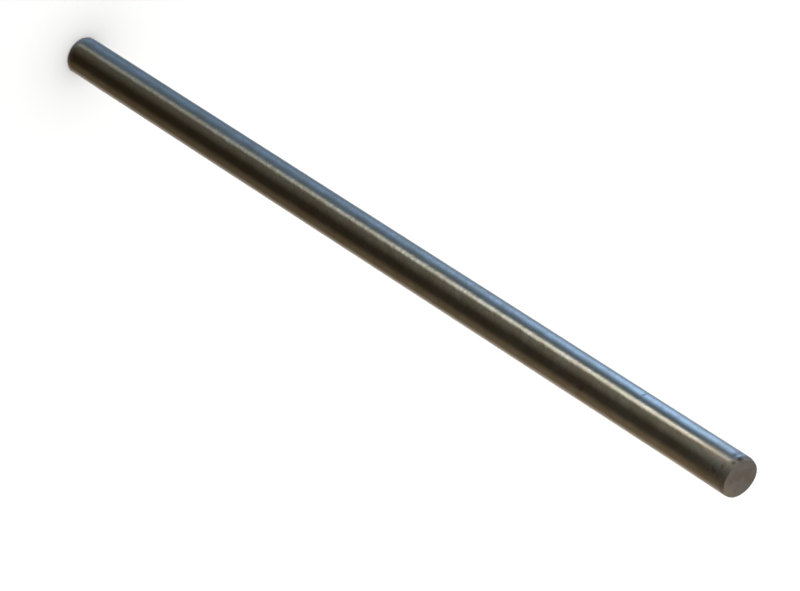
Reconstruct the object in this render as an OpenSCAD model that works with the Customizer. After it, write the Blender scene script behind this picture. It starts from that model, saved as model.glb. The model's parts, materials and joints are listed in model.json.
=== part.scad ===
// Solid round bar of bright steel, sawn to length.
// It stands on its lower end face, with its axis along Z. The origin is the middle of that face, on the floor.
// The lower end is cut square. The upper end is cut a little out of square, with its long side towards -X.
// Units are millimetres.

/* [Bar] */
// Outside diameter of the bar
bar_d = 12.7; // [6:0.1:30]
// Length along the axis, from end face to end face
bar_l = 300; // [50:5:3000]

/* [Cut ends] */
// How far back from the middle of an end face its rounded-over edge starts
edge_run = 2; // [1.5:0.1:4]
// How far in from the outside that edge is where it meets a square end face
edge_drop = 0.4; // [0.1:0.05:0.7]
// Degrees by which the upper end is cut out of square
cut_tilt = 5.5; // [0.5:0.5:6]

/* [Hidden] */

// Sides of the turned form
$fn = 128;
// Colour of dull bright-drawn steel
steel = [0.42, 0.40, 0.37];
bar_r = bar_d / 2;
shank_l = bar_l - 2 * edge_run;
// Radius of the arc that leaves the side without a corner and falls by edge_drop over edge_run
edge_r = (edge_run ^ 2 + edge_drop ^ 2) / (2 * edge_drop);
// What the blank has above the middle of the upper face, for the tilted cut to pass through
cut_allowance = bar_r * tan(cut_tilt);

// Half section of a rounded-over end, from where the arc leaves the side to a flat top
module end_section(run) {
    intersection() {
        square([bar_r, run]);
        union() {
            translate([bar_r - edge_r, 0]) circle(r = edge_r);
            if (bar_r > edge_r) square([bar_r - edge_r, run]);
        }
    }
}

// Half section of the blank, with its axis on Y and the middle of its lower face at the origin
module blank_section() {
    translate([0, edge_run]) {
        square([bar_r, shank_l]);
        mirror([0, 1]) end_section(edge_run);
        translate([0, shank_l]) end_section(edge_run + cut_allowance);
    }
}

// What the saw takes off above the tilted upper face
module saw_waste() {
    translate([0, 0, bar_l])
        rotate([0, cut_tilt, 0])
            translate([-bar_d, -bar_d, 0])
                cube([2 * bar_d, 2 * bar_d, bar_d]);
}

// The bar, turned about its axis, stood on its lower end and sawn at the upper one
module round_bar() {
    color(steel)
        difference() {
            rotate_extrude() blank_section();
            saw_waste();
        }
}

round_bar();
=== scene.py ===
import json
import math
from collections import namedtuple

import bpy
from mathutils import Matrix, Vector, noise


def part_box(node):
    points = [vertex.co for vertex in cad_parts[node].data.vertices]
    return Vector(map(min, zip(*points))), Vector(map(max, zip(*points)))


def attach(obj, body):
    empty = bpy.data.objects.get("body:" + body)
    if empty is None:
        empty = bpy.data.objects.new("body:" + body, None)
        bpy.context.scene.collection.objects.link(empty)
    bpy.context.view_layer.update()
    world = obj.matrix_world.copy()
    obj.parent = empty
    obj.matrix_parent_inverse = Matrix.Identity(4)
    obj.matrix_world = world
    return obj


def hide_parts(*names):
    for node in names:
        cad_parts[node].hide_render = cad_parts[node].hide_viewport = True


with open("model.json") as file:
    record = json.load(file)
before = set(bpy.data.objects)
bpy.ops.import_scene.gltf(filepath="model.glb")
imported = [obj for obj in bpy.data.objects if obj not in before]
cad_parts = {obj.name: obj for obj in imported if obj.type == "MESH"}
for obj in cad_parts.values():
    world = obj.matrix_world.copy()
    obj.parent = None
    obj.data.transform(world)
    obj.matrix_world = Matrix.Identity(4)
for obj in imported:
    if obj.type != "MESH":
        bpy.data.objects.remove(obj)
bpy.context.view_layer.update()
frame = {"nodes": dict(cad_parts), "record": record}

MM = 0.001

# The bar's own sizes, all from the frame
NODE = "round_bar"
node_low, node_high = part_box(NODE)
RADIUS = (node_high.x - node_low.x) / 2
MOUNTS = {mount["name"]: mount for mount in frame["record"]["mounts"]}
LENGTH = MOUNTS["upper_end_face"]["pos_m"][2]
CUT_AXIS = Vector(MOUNTS["upper_end_face"]["axis"])
EDGE_RUN = (LENGTH - MOUNTS["shank"]["dims"]["length_mm"] * MM) / 2
FLOOR_TOLERANCE = 0.01 * MM
LOWER_RIM = [v.co for v in frame["nodes"][NODE].data.vertices if v.co.z < node_low.z + FLOOR_TOLERANCE]
EDGE_DROP = RADIUS - max(math.hypot(p.x, p.y) for p in LOWER_RIM)
EDGE_RADIUS = (EDGE_RUN ** 2 + EDGE_DROP ** 2) / (2 * EDGE_DROP)

# Fineness of the mesh. At each mark there are closer rings, out to MARK_REACH times its spread
SIDES = 180
SHANK_RINGS = 200
EDGE_RINGS = 14
CORNER_RINGS = 5
FACE_RINGS = 60
MARK_RINGS = 8
MARK_REACH = 2
RING_GAP = 0.03 * MM

# Relief of the surfaces. The turn of the waves and the wander of the blade marks are in radians
CORNER_RADIUS = 0.25 * MM
WAVE_HEIGHT = 0.008 * MM
WAVE_LENGTH = 24 * MM
WAVE_TURN = 1.1
SAW_PITCH = 0.8 * MM
SAW_DEPTH = 0.008 * MM
SAW_BLADE_RADIUS = 125 * MM
SAW_WANDER = 4
SAW_WANDER_SIZE = 4 * SAW_PITCH
GRAIN_DEPTH = 0.006 * MM
GRAIN_SIZE = 0.45 * MM
FACE_MARGIN = 0.4 * MM

# Small marks on the side: the azimuth in degrees from -Y towards +X, the distance below the middle of the
# upper face, the spread around the bar, downward and upward, the depth, and the share of painted shade: a
# dark colour that stands in for shade in and beside the nicks. A mark whose depth is below 0 stands proud,
# and one with no depth is only a spot of painted shade
Mark = namedtuple("Mark", "azimuth below around downward upward depth dirt")
MARKS = (
    Mark(-54.0, 40.4 * MM, 1.1 * MM, 2.6 * MM, 0.7 * MM, 0.065 * MM, 0.0),
    Mark(31.5, 57.4 * MM, 0.6 * MM, 0.6 * MM, 0.6 * MM, -0.06 * MM, 0.0),
    Mark(-44.0, 3.1 * MM, 0.7 * MM, 0.7 * MM, 0.7 * MM, 0.02 * MM, 0.45),
    Mark(-61.0, 3.0 * MM, 1.5 * MM, 1.4 * MM, 1.1 * MM, 0.0 * MM, 0.42),
    Mark(-43.5, 0.9 * MM, 0.65 * MM, 0.6 * MM, 0.5 * MM, 0.08 * MM, 0.95),
    Mark(-22.5, 1.05 * MM, 0.55 * MM, 0.6 * MM, 0.5 * MM, 0.02 * MM, 0.5),
)

# The bar's two material slots
DRAWN, SAWN = 0, 1


# Shapes

def outward(azimuth):
    """The level direction at an azimuth in radians from -Y towards +X."""
    return Vector((math.sin(azimuth), -math.cos(azimuth), 0.0))


def arc(centre, radius, start, end, steps):
    """Points (r, z) on an arc about centre, by the angle of their normal above the level."""
    angles = [start + (end - start) * i / steps for i in range(steps + 1)]
    return [(centre[0] + radius * math.cos(a), centre[1] + radius * math.sin(a)) for a in angles]


def end_section(fall):
    """Half section of an end, as points (r, height above the shank) in two lists.

    The first is the rounded edge. The second is the corner, which rounds off the line where the edge meets
    the face, and then the face up to the middle. The face falls by that much for each unit of r.
    """
    face_turn = math.atan(fall)
    edge_reach = RADIUS - EDGE_RADIUS
    corner_reach = EDGE_RADIUS - CORNER_RADIUS
    drop = CORNER_RADIUS / math.cos(face_turn) + fall * edge_reach
    meet = math.asin((EDGE_RUN - drop) * math.cos(face_turn) / corner_reach) - face_turn
    corner_centre = (edge_reach + corner_reach * math.cos(meet), corner_reach * math.sin(meet))
    edge = arc((edge_reach, 0.0), EDGE_RADIUS, 0.0, meet, EDGE_RINGS)
    corner = arc(corner_centre, CORNER_RADIUS, meet, math.pi / 2 - face_turn, CORNER_RINGS)
    rim = corner[-1][0]
    reaches = [rim * (1 - i / FACE_RINGS) for i in range(1, FACE_RINGS)]
    return edge, corner[1:] + [(r, EDGE_RUN - fall * r) for r in reaches]


def face_reach(face):
    """The r of the outermost ring of a face, just inside its corner."""
    return face[CORNER_RINGS][0]


def side_wave(azimuth, height):
    """How far the drawn side stands proud, from the slow waves that straightening rolls leave."""
    turned = outward(azimuth + WAVE_TURN * height / WAVE_LENGTH)
    return WAVE_HEIGHT * noise.noise(turned + Vector((0.0, 0.0, height / WAVE_LENGTH)))


def sawn_relief(place, outermost, seed):
    """How far below flat a point of a sawn face lies: blade marks on long arcs, and torn grain."""
    x, y = place.x, place.y
    from_blade = math.hypot(x + SAW_BLADE_RADIUS, y)
    wander = noise.noise(Vector((x, y, seed)) / SAW_WANDER_SIZE)
    blade_marks = 1 - math.cos(2 * math.pi * from_blade / SAW_PITCH + SAW_WANDER * wander)
    grain = 1 - noise.noise(Vector((x, y, seed * MM)) / GRAIN_SIZE)
    inside = (outermost - math.hypot(x, y)) / FACE_MARGIN
    return min(1.0, max(0.0, inside)) * (SAW_DEPTH * blade_marks / 2 + GRAIN_DEPTH * grain / 2)


def on_side(azimuth, reach, height):
    """A point of the drawn side or of a rounded edge."""
    return outward(azimuth) * (reach + side_wave(azimuth, height)) + Vector((0.0, 0.0, height))


def on_face(azimuth, reach, height, outermost, facing):
    """A point of a sawn face or of its corner. Facing is 1 on the upper face and -1 on the lower one."""
    place = outward(azimuth) * reach + Vector((0.0, 0.0, height))
    place.z -= facing * sawn_relief(place, outermost, facing)
    return place


def marked(place):
    """A point of the skin, moved by the marks that it lies in, and the share of painted shade there."""
    moved, dirt = place.copy(), 0.0
    for mark in MARKS:
        out = outward(math.radians(mark.azimuth))
        away = place - out * RADIUS
        level = Vector((away.x, away.y, 0.0)).length / mark.around
        above = place.z - LENGTH + mark.below
        along = above / (mark.upward if above > 0 else mark.downward)
        share = math.exp(-level ** 2 - along ** 2)
        moved -= out * mark.depth * share
        # Painted shade: how much the mark darkens the colour here, standing in for shade
        dirt += mark.dirt * share
    return moved, dirt


def shank_heights():
    """Heights of the rings on the straight side: even ones, and closer ones at each mark."""
    straight = LENGTH - 2 * EDGE_RUN
    heights = [EDGE_RUN + straight * i / SHANK_RINGS for i in range(1, SHANK_RINGS)]
    steps = [MARK_REACH * i / MARK_RINGS for i in range(-MARK_RINGS, MARK_RINGS + 1)]
    for mark in MARKS:
        spots = [LENGTH - mark.below + step * (mark.upward if step > 0 else mark.downward) for step in steps]
        heights.extend(h for h in spots if EDGE_RUN + RING_GAP < h < LENGTH - EDGE_RUN - RING_GAP)
    heights.sort()
    return [h for h, below in zip(heights, [0.0] + heights) if h - below > RING_GAP]


def bar_rings():
    """Rings of points from the lower face to the upper one, each with the material slot of its surface."""
    azimuths = [2 * math.pi * i / SIDES for i in range(SIDES)]
    rings = []
    edge, face = end_section(0.0)
    outermost = face_reach(face)
    for r, z in reversed(face):
        rings.append(([on_face(a, r, EDGE_RUN - z, outermost, -1) for a in azimuths], SAWN))
    for r, z in reversed(edge):
        rings.append(([on_side(a, r, EDGE_RUN - z) for a in azimuths], DRAWN))
    for height in shank_heights():
        rings.append(([on_side(a, RADIUS, height) for a in azimuths], DRAWN))

    shoulder = LENGTH - EDGE_RUN
    falls = [outward(a).dot(CUT_AXIS) / CUT_AXIS.z for a in azimuths]
    edges, faces = zip(*[end_section(fall) for fall in falls])
    for spots in zip(*edges):
        rings.append(([on_side(a, r, shoulder + z) for a, (r, z) in zip(azimuths, spots)], DRAWN))
    reaches = [face_reach(face) for face in faces]
    for spots in zip(*faces):
        columns = zip(azimuths, spots, reaches)
        rings.append(([on_face(a, r, shoulder + z, reach, 1) for a, (r, z), reach in columns], SAWN))
    return rings


def bar_faces(slots):
    """Faces between rings with those slots, then round the middles of the two ends, and each face's slot."""
    faces, face_slots = [], []
    for k in range(len(slots) - 1):
        low, high = k * SIDES, (k + 1) * SIDES
        for i in range(SIDES):
            j = (i + 1) % SIDES
            faces.append((low + i, low + j, high + j, high + i))
            face_slots.append(SAWN if SAWN in slots[k:k + 2] else DRAWN)
    top_ring = (len(slots) - 1) * SIDES
    lower_middle = len(slots) * SIDES
    for middle, start, order in ((lower_middle, 0, -1), (lower_middle + 1, top_ring, 1)):
        for i in range(SIDES):
            faces.append((middle, start + i, start + (i + 1) % SIDES)[::order])
            face_slots.append(SAWN)
    return faces, face_slots


def bar_mesh():
    """The bar as one closed skin of rings, from the middle of the lower face to that of the upper one."""
    rings, slots = zip(*bar_rings())
    skin = [marked(point) for ring in rings for point in ring]
    skin += [(Vector((0.0, 0.0, height)), 0.0) for height in (0.0, LENGTH)]
    places, dirt = zip(*skin)
    faces, face_slots = bar_faces(slots)
    mesh = bpy.data.meshes.new("bar")
    mesh.from_pydata(places, [], faces)
    mesh.polygons.foreach_set("material_index", face_slots)
    # The share of painted shade at each point, for the steel's colour
    mesh.attributes.new("dirt", "FLOAT", "POINT").data.foreach_set("value", dirt)
    mesh.shade_smooth()
    mesh.update()
    return mesh


# Nodes

# The colour sockets of a Mix node, which has more sockets of the same names
MIX_FIRST, MIX_SECOND, MIX_RESULT = 6, 7, 2

# A noise: the size of its features, how far they are drawn out along the bar, and its finer detail
Speckle = namedtuple("Speckle", "size stretch detail roughness", defaults=(1.0, 2.0, 0.5))

# Soft patches: a noise, and its values at which the patches start and are full
Patches = namedtuple("Patches", "speckle low high")


def add_node(tree, kind, **settings):
    node = tree.nodes.new(kind)
    for name, value in settings.items():
        setattr(node, name, value)
    return node


def feed(tree, socket, value):
    """Links value to the socket where it is an output, and otherwise sets it there."""
    if isinstance(value, bpy.types.NodeSocket):
        tree.links.new(value, socket)
    else:
        socket.default_value = value


def axes(tree, vector):
    """The X, Y and Z of a vector."""
    node = add_node(tree, "ShaderNodeSeparateXYZ")
    feed(tree, node.inputs[0], vector)
    return node.outputs


def calc(tree, operation, *values):
    node = add_node(tree, "ShaderNodeMath", operation=operation)
    for socket, value in zip(node.inputs, values):
        feed(tree, socket, value)
    return node.outputs[0]


def remap(tree, value, low, high, to_low=0.0, to_high=1.0):
    """Smooth step from to_low to to_high as value goes from low to high."""
    node = add_node(tree, "ShaderNodeMapRange", interpolation_type="SMOOTHSTEP")
    for name, number in (("Value", value), ("From Min", low), ("From Max", high),
                         ("To Min", to_low), ("To Max", to_high)):
        feed(tree, node.inputs[name], number)
    return node.outputs[0]


def between(tree, value, low, high, soft):
    """1 where value lies between low and high and 0 outside, with edges that are soft to each side."""
    return calc(tree, "MULTIPLY", remap(tree, value, low - soft, low + soft),
                remap(tree, value, high + soft, high - soft))


def mix_colour(tree, factor, first, second):
    node = add_node(tree, "ShaderNodeMix", data_type="RGBA")
    feed(tree, node.inputs["Factor"], factor)
    feed(tree, node.inputs[MIX_FIRST], first)
    feed(tree, node.inputs[MIX_SECOND], second)
    return node.outputs[MIX_RESULT]


def scaled(tree, colour, factor):
    node = add_node(tree, "ShaderNodeVectorMath", operation="SCALE")
    node.inputs[0].default_value = colour
    feed(tree, node.inputs["Scale"], factor)
    return node.outputs[0]


def plus(tree, first, second):
    node = add_node(tree, "ShaderNodeVectorMath", operation="ADD")
    feed(tree, node.inputs[0], first)
    feed(tree, node.inputs[1], second)
    return node.outputs[0]


def speckle(tree, place, kind):
    """The value of a kind of noise at a place, from 0 to 1."""
    spread = add_node(tree, "ShaderNodeVectorMath", operation="MULTIPLY")
    feed(tree, spread.inputs[0], place)
    spread.inputs[1].default_value = (1 / kind.size, 1 / kind.size, 1 / (kind.size * kind.stretch))
    node = add_node(tree, "ShaderNodeTexNoise")
    feed(tree, node.inputs["Vector"], spread.outputs[0])
    node.inputs["Scale"].default_value = 1.0
    node.inputs["Detail"].default_value = kind.detail
    node.inputs["Roughness"].default_value = kind.roughness
    return node.outputs["Fac"]


def patches(tree, place, kind):
    """1 in the patches of a kind and 0 between them."""
    return remap(tree, speckle(tree, place, kind.speckle), kind.low, kind.high)


def bump(tree, height, depth, under=None):
    """The normal of a relief that deep, on top of the normal under it."""
    node = add_node(tree, "ShaderNodeBump")
    feed(tree, node.inputs["Height"], height)
    node.inputs["Distance"].default_value = depth
    node.inputs["Strength"].default_value = 1.0
    if under is not None:
        feed(tree, node.inputs["Normal"], under)
    return node.outputs["Normal"]


def new_material(name):
    """A node material with a metal shader, and the place on the object that its patterns use."""
    material = bpy.data.materials.new(name)
    material.use_nodes = True
    tree = material.node_tree
    shader = tree.nodes["Principled BSDF"]
    shader.inputs["Metallic"].default_value = 1.0
    place = add_node(tree, "ShaderNodeTexCoord").outputs["Object"]
    return material, tree, shader, place


# Material of the drawn side

# Colours: the bare steel and its film, the dull stretch at the upper end with its painted light, the streak,
# the rims and the dark colour of the painted shade at the marks
STEEL = (0.47, 0.45, 0.42, 1.0)
FILM_OLIVE = (0.40, 0.385, 0.32, 1.0)
FILM_BROWN = (0.42, 0.37, 0.33, 1.0)
END_FILM = (0.39, 0.335, 0.28, 1.0)
END_STEEL = (0.40, 0.395, 0.37, 1.0)
END_STAIN = (0.38, 0.33, 0.28, 1.0)
# Painted light: the paler, cooler grey of the stretch across X at the upper end
END_PAINTED_LIGHT = (0.52, 0.54, 0.53, 1.0)
STREAK_BROWN = (0.29, 0.24, 0.2, 1.0)
RIM_STEEL = (0.38, 0.345, 0.315, 1.0)
# Painted shade: the dark colour that the spots at the marks take
SPOT_SHADE_COLOUR = (0.07, 0.06, 0.065, 1.0)

# Patches of the film, of its second tint and of the stains, and how dull the end is where the stains show
FILM = Patches(Speckle(4 * MM, 1.6), 0.35, 0.65)
TINT = Patches(Speckle(2.5 * MM, 1.6, detail=1.0), 0.4, 0.6)
STAINS = Patches(Speckle(1.4 * MM, detail=3.0), 0.48, 0.64)
STAINED_FROM, STAINED_TO = 0.75, 1.0

# Distances from the end of the bar at which each kind of wear starts and is full. The place is first moved
# towards the end by a ragged amount of up to RAGGED_DEPTH, so those of the rims are below 0
DULL_FROM, DULL_TO = 20 * MM, 0.5 * MM
STREAK_FROM, STREAK_TO = 34 * MM, 10 * MM
RIM_FROM, RIM_TO = -0.2 * MM, -1.4 * MM
RAGGED = Speckle(1.5 * MM, detail=3.0)
RAGGED_DEPTH = 4 * MM

# Places across the bar, on X: from the clean side to the worn one, the grey stretch of painted light and the
# brown streak
CLEAN_X, WORN_X = -0.79 * RADIUS, -0.41 * RADIUS
PAINTED_LIGHT_LOW, PAINTED_LIGHT_HIGH, PAINTED_LIGHT_SOFT = -0.1 * RADIUS, 0.5 * RADIUS, 0.15 * RADIUS
STREAK_LOW, STREAK_HIGH, STREAK_SOFT = -0.34 * RADIUS, -0.21 * RADIUS, 0.05 * RADIUS

# The clean side's share of the dullness, and how much further the worn side's rims and streak reach
CLEAN_SHARE = 0.25
WORN_REACH = 0.7 * MM

# Roughness of the bare steel, and what the lines, each kind of wear and the spots of painted shade add to it
STEEL_ROUGHNESS = 0.10
LINES_ROUGHNESS = 0.10
FILM_ROUGHNESS = 0.03
DULL_ROUGHNESS = 0.19
SPOT_SHADE_ROUGHNESS = 0.3
RIM_ROUGHNESS = 0.22

# The uneven skin: wide and narrow dimples, and the lines that the die draws along the bar
WIDE_DIMPLES = Speckle(2.2 * MM, 1.4)
WIDE_DEPTH = 0.045 * MM
NARROW_DIMPLES = Speckle(1.0 * MM, 1.3)
NARROW_DEPTH = 0.016 * MM
DIE_LINES = Speckle(0.35 * MM, 90.0, 3.0, 0.6)
LINES_DEPTH = 0.001 * MM

# The kinds of wear on the side, with the painted light of the grey stretch and the painted shade at the
# marks
WearAndShading = namedtuple("WearAndShading", "film dull grey streak rim dirt")


def near_end(tree, from_middle, moved, start, full):
    """0 to 1 between two distances from the end, for a place that is moved towards the end by that much."""
    place = calc(tree, "ADD", from_middle, moved)
    return remap(tree, place, LENGTH / 2 - start, LENGTH / 2 - full)


def side_wear_and_shading(tree, place):
    """How much of each worn mark, of the painted light and of the painted shade there is at a place on the
    side, from 0 to 1.
    """
    spot = axes(tree, place)
    x = spot["X"]
    above_middle = calc(tree, "SUBTRACT", spot["Z"], LENGTH / 2)
    ragged = calc(tree, "MULTIPLY", speckle(tree, place, RAGGED), RAGGED_DEPTH)
    worn = remap(tree, x, CLEAN_X, WORN_X)
    further = calc(tree, "MULTIPLY_ADD", worn, WORN_REACH, ragged)
    dull = calc(tree, "MULTIPLY", near_end(tree, above_middle, ragged, DULL_FROM, DULL_TO),
                calc(tree, "MULTIPLY_ADD", worn, 1 - CLEAN_SHARE, CLEAN_SHARE))
    # Painted light: the grey stretch across X, where the dull end is painted paler
    grey = between(tree, x, PAINTED_LIGHT_LOW, PAINTED_LIGHT_HIGH, PAINTED_LIGHT_SOFT)
    streak = calc(tree, "MULTIPLY", between(tree, x, STREAK_LOW, STREAK_HIGH, STREAK_SOFT),
                  near_end(tree, above_middle, further, STREAK_FROM, STREAK_TO))
    rim = near_end(tree, calc(tree, "ABSOLUTE", above_middle), further, RIM_FROM, RIM_TO)
    # The share of painted shade at the marks, from the mesh
    dirt = add_node(tree, "ShaderNodeAttribute", attribute_name="dirt").outputs["Fac"]
    return WearAndShading(patches(tree, place, FILM), dull, grey, streak, rim, dirt)


def side_colour(tree, place, wear_and_shading):
    """Steel under a film of two tints, and on that the worn upper end with a stretch of painted light, the
    streak, the rims and the painted shade at the marks.
    """
    film = mix_colour(tree, patches(tree, place, TINT), FILM_OLIVE, FILM_BROWN)
    colour = mix_colour(tree, wear_and_shading.film, STEEL, film)
    # Painted light: across the grey stretch the dull end and its bare steel turn a paler grey
    colour = mix_colour(tree, wear_and_shading.dull, colour, mix_colour(tree, wear_and_shading.grey, END_FILM, END_PAINTED_LIGHT))
    end_steel = mix_colour(tree, wear_and_shading.grey, END_STEEL, END_PAINTED_LIGHT)
    stained_end = mix_colour(tree, patches(tree, place, STAINS), end_steel, END_STAIN)
    colour = mix_colour(tree, remap(tree, wear_and_shading.dull, STAINED_FROM, STAINED_TO), colour, stained_end)
    colour = mix_colour(tree, wear_and_shading.streak, colour, STREAK_BROWN)
    colour = mix_colour(tree, wear_and_shading.rim, colour, RIM_STEEL)
    # Painted shade: the spots at the marks turn dark
    return mix_colour(tree, wear_and_shading.dirt, colour, SPOT_SHADE_COLOUR)


def side_roughness(tree, lines, wear_and_shading):
    """The roughness of the bare steel, with what the lines, the worn marks and the spots of painted shade
    add.
    """
    roughness = STEEL_ROUGHNESS
    for amount, added in ((lines, LINES_ROUGHNESS), (wear_and_shading.film, FILM_ROUGHNESS), (wear_and_shading.dull, DULL_ROUGHNESS),
                          (wear_and_shading.dirt, SPOT_SHADE_ROUGHNESS), (wear_and_shading.rim, RIM_ROUGHNESS)):
        roughness = calc(tree, "MULTIPLY_ADD", amount, added, roughness)
    return roughness


def side_skin(tree, place, lines):
    """The normal of the uneven skin."""
    skin = bump(tree, speckle(tree, place, WIDE_DIMPLES), WIDE_DEPTH)
    skin = bump(tree, speckle(tree, place, NARROW_DIMPLES), NARROW_DEPTH, skin)
    return bump(tree, lines, LINES_DEPTH, skin)


def drawn_steel():
    """Bright drawn side: die lines, a thin patchy film, dull towards the upper end, matt at the rims."""
    material, tree, shader, place = new_material("drawn_steel")
    wear_and_shading = side_wear_and_shading(tree, place)
    lines = speckle(tree, place, DIE_LINES)
    feed(tree, shader.inputs["Base Color"], side_colour(tree, place, wear_and_shading))
    feed(tree, shader.inputs["Roughness"], side_roughness(tree, lines, wear_and_shading))
    feed(tree, shader.inputs["Normal"], side_skin(tree, place, lines))
    return material


# Material of the sawn faces

# Colours: patches of grey and brown, going paler from one place on X to another with a ragged edge, as
# painted light on that side
SAWN_GREY = (0.45, 0.44, 0.42, 1.0)
SAWN_BROWN = (0.42, 0.375, 0.335, 1.0)
SAWN_PAINTED_LIGHT = (0.56, 0.52, 0.44, 1.0)
BROWN_PATCHES = Patches(Speckle(4 * MM), 0.42, 0.58)
PALE_FROM, PALE_TO = 0.55 * RADIUS, 1.2 * RADIUS
PALE_EDGE = Speckle(3 * MM, detail=1.0)
PALE_EDGE_DEPTH = 4 * MM

# The torn grain: its noise, the values of it that give the least and the greatest roughness, and its depth
TORN_GRAIN = Speckle(0.3 * MM, detail=4.0)
TORN_LOW, TORN_HIGH = 0.3, 0.7
LEAST_ROUGHNESS, GREATEST_ROUGHNESS = 0.5, 0.68
TORN_DEPTH = 0.012 * MM


def sawn_steel():
    """Matt cut face: patches of grey and brown, painted paler on one side as if lit there, with torn grain.
    """
    material, tree, shader, place = new_material("sawn_steel")
    x = axes(tree, place)["X"]
    across = calc(tree, "MULTIPLY_ADD", speckle(tree, place, PALE_EDGE), PALE_EDGE_DEPTH, x)
    # Painted light: the face turns paler towards +X
    pale = remap(tree, across, PALE_FROM, PALE_TO)
    colour = mix_colour(tree, patches(tree, place, BROWN_PATCHES), SAWN_GREY, SAWN_BROWN)
    feed(tree, shader.inputs["Base Color"], mix_colour(tree, pale, colour, SAWN_PAINTED_LIGHT))
    grain = speckle(tree, place, TORN_GRAIN)
    roughness = remap(tree, grain, TORN_LOW, TORN_HIGH, LEAST_ROUGHNESS, GREATEST_ROUGHNESS)
    feed(tree, shader.inputs["Roughness"], roughness)
    feed(tree, shader.inputs["Normal"], bump(tree, grain, TORN_DEPTH))
    return material


# The object

bar = bpy.data.objects.new("bar", bar_mesh())
bpy.context.scene.collection.objects.link(bar)
bar.data.materials.append(drawn_steel())
bar.data.materials.append(sawn_steel())
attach(bar, "root")
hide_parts(NODE)


# Floor and light

FLOOR_HALF = 12.0
FLOOR_COLOUR = (0.9, 0.9, 0.895, 1.0)
FLOOR_ROUGHNESS = 0.9
OVERHEAD_STRENGTH = 3.7
OVERHEAD_ANGLE = math.radians(22)


def pale_floor():
    mesh = bpy.data.meshes.new("floor")
    corners = [(x * FLOOR_HALF, y * FLOOR_HALF, 0.0) for x, y in ((-1, -1), (1, -1), (1, 1), (-1, 1))]
    mesh.from_pydata(corners, [], [(0, 1, 2, 3)])
    floor = bpy.data.objects.new("floor", mesh)
    bpy.context.scene.collection.objects.link(floor)
    material = bpy.data.materials.new("pale_floor")
    material.use_nodes = True
    shader = material.node_tree.nodes["Principled BSDF"]
    shader.inputs["Base Color"].default_value = FLOOR_COLOUR
    shader.inputs["Roughness"].default_value = FLOOR_ROUGHNESS
    shader.inputs["Specular IOR Level"].default_value = 0.0
    mesh.materials.append(material)
    # The steel mirrors the studio, not the floor at its foot
    floor.visible_glossy = False
    floor.visible_shadow = False


def overhead_light():
    """Soft light from straight above, for the floor."""
    light = bpy.data.lights.new("overhead", "SUN")
    light.energy = OVERHEAD_STRENGTH
    light.angle = OVERHEAD_ANGLE
    lamp = bpy.data.objects.new("overhead", light)
    bpy.context.scene.collection.objects.link(lamp)
    lamp.visible_glossy = False


# Soft panels round the bar, with angles in degrees: the azimuth of the middle from -Y towards +X, half the
# width, how far the soft edge reaches to each side, the colour and brightness, the elevations at which the
# brightness is full and at which it has gone to its low share, that share, and the elevation of the top
Panel = namedtuple("Panel", "name middle half soft colour brightness full faded low top")
PANELS = (
    Panel("blue_panel", -109, 13.5, 26, (0.415, 0.64, 1.0), 2.45, -29.0, -42.0, 0.16, -31.0),
    Panel("blue_surround", -112, 60, 28, (0.3, 0.6, 1.0), 0.22, -33.0, -42.5, 0.65, -28.0),
    Panel("side_fill", -160, 14, 22, (0.8, 0.92, 1.0), 0.5, -33.0, -42.5, 0.8, 0.0),
    Panel("high_panel", -108, 14, 24, (0.88, 0.94, 1.0), 1.0, -10.0, -18.0, 0.0, 0.0),
    Panel("cream_strip", -43.2, 8.3, 9.5, (0.985, 1.0, 0.915), 2.17, -32.5, -42.5, 0.12, 0.0),
    Panel("blue_haze", -72, 22, 22, (0.5, 0.76, 1.0), 0.03, -33.0, -38.5, 5.0, -28.0),
    Panel("front_fill", -22, 18, 34, (1.0, 1.0, 0.81), 0.22, -33.0, -42.5, 0.4, 0.0),
    Panel("warm_fill", 132, 58, 22, (1.0, 0.755, 0.46), 0.19, -33.0, -42.5, 0.6, 0.0),
    Panel("warm_panel", 150, 22, 22, (1.0, 0.96, 0.90), 0.38, -33.0, -42.5, 0.8, 0.0),
    Panel("high_lamp", 128, 10, 10, (1.0, 0.96, 0.88), 1.4, -15.0, -25.0, 0.0, 0.0),
    Panel("back_panel", 172, 16, 16, (0.86, 0.93, 1.0), 1.1, -30.0, -45.0, 0.3, 0.0),
    Panel("dim_glow", 0, 180, 1, (1.0, 1.0, 0.83), 0.042, -33.0, -42.5, 0.2, 0.0),
    Panel("warm_glow", 0, 180, 1, (1.0, 0.66, 0.32), 0.023, -33.0, -42.5, 1.0, 0.0),
)
HALF_TURN = 180.0

# Degrees above its top over which a panel fades out
TOP_FADE = 8.0

# The ceiling, the elevations in degrees between which it comes up, and the backdrop that the camera sees
CEILING = (0.378, 0.343, 0.31)
CEILING_FROM, CEILING_TO = 8.0, 34.0
BACKDROP = (1.0, 1.0, 1.0, 1.0)


def panel_light(tree, panel, azimuth, elevation):
    """The light of one panel from a direction."""
    turned = calc(tree, "WRAP", calc(tree, "SUBTRACT", azimuth, panel.middle), HALF_TURN, -HALF_TURN)
    away = calc(tree, "ABSOLUTE", turned)
    inside = remap(tree, away, panel.half + panel.soft, max(0.0, panel.half - panel.soft))
    least = panel.brightness * panel.low
    fade = remap(tree, elevation, panel.faded, panel.full, least, panel.brightness)
    below_top = remap(tree, elevation, panel.top + TOP_FADE, panel.top)
    strength = calc(tree, "MULTIPLY", calc(tree, "MULTIPLY", inside, fade), below_top)
    light = scaled(tree, panel.colour, strength)
    light.node.label = panel.name
    return light


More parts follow.
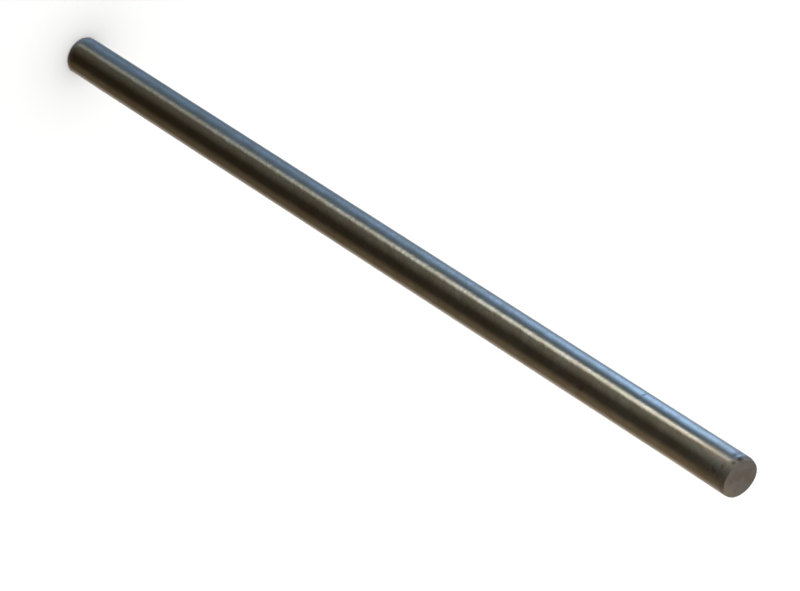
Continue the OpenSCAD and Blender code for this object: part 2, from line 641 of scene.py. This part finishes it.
def studio():
    """Soft panels in a dim room, as the steel mirrors it. The camera sees a plain pale backdrop."""
    world = bpy.data.worlds.new("studio")
    bpy.context.scene.world = world
    world.use_nodes = True
    world.cycles_visibility.diffuse = False
    tree = world.node_tree
    x, y, z = axes(tree, add_node(tree, "ShaderNodeTexCoord").outputs["Generated"])
    azimuth = calc(tree, "DEGREES", calc(tree, "ARCTAN2", x, calc(tree, "MULTIPLY", y, -1.0)))
    elevation = calc(tree, "DEGREES", calc(tree, "ARCSINE", z))
    light = scaled(tree, CEILING, remap(tree, elevation, CEILING_FROM, CEILING_TO))
    for panel in PANELS:
        light = plus(tree, light, panel_light(tree, panel, azimuth, elevation))

    room = tree.nodes["Background"]
    feed(tree, room.inputs["Color"], light)
    pale = add_node(tree, "ShaderNodeBackground")
    pale.inputs["Color"].default_value = BACKDROP
    seen = add_node(tree, "ShaderNodeMixShader")
    feed(tree, seen.inputs[0], add_node(tree, "ShaderNodeLightPath").outputs["Is Camera Ray"])
    feed(tree, seen.inputs[1], room.outputs[0])
    feed(tree, seen.inputs[2], pale.outputs[0])
    feed(tree, tree.nodes["World Output"].inputs["Surface"], seen.outputs[0])


# The camera, fitted to the photograph's edges of the bar and the outline of its end

IMAGE_WIDTH = 800
FOCAL_PIXELS = 3889.33
SENSOR_WIDTH = 36.0
CAMERA_PLACE = Vector((0.009023, -0.898421, 0.885556))
CAMERA_PITCH = math.radians(38.76)
CAMERA_ROLL = math.radians(123.12)


def photo_camera():
    data = bpy.data.cameras.new("camera")
    data.sensor_width = SENSOR_WIDTH
    data.sensor_fit = "HORIZONTAL"
    data.lens = FOCAL_PIXELS / IMAGE_WIDTH * SENSOR_WIDTH
    camera = bpy.data.objects.new("camera", data)
    bpy.context.scene.collection.objects.link(camera)
    forward = Vector((0.0, math.cos(CAMERA_PITCH), -math.sin(CAMERA_PITCH)))
    level_right = Vector((1.0, 0.0, 0.0))
    level_up = level_right.cross(forward)
    right = level_right * math.cos(CAMERA_ROLL) + level_up * math.sin(CAMERA_ROLL)
    up = right.cross(forward)
    turn = Matrix((right, up, -forward)).transposed().to_4x4()
    camera.matrix_world = Matrix.Translation(CAMERA_PLACE) @ turn
    bpy.context.scene.camera = camera


pale_floor()
overhead_light()
studio()
photo_camera()
bpy.context.scene.view_settings.view_transform = "Standard"
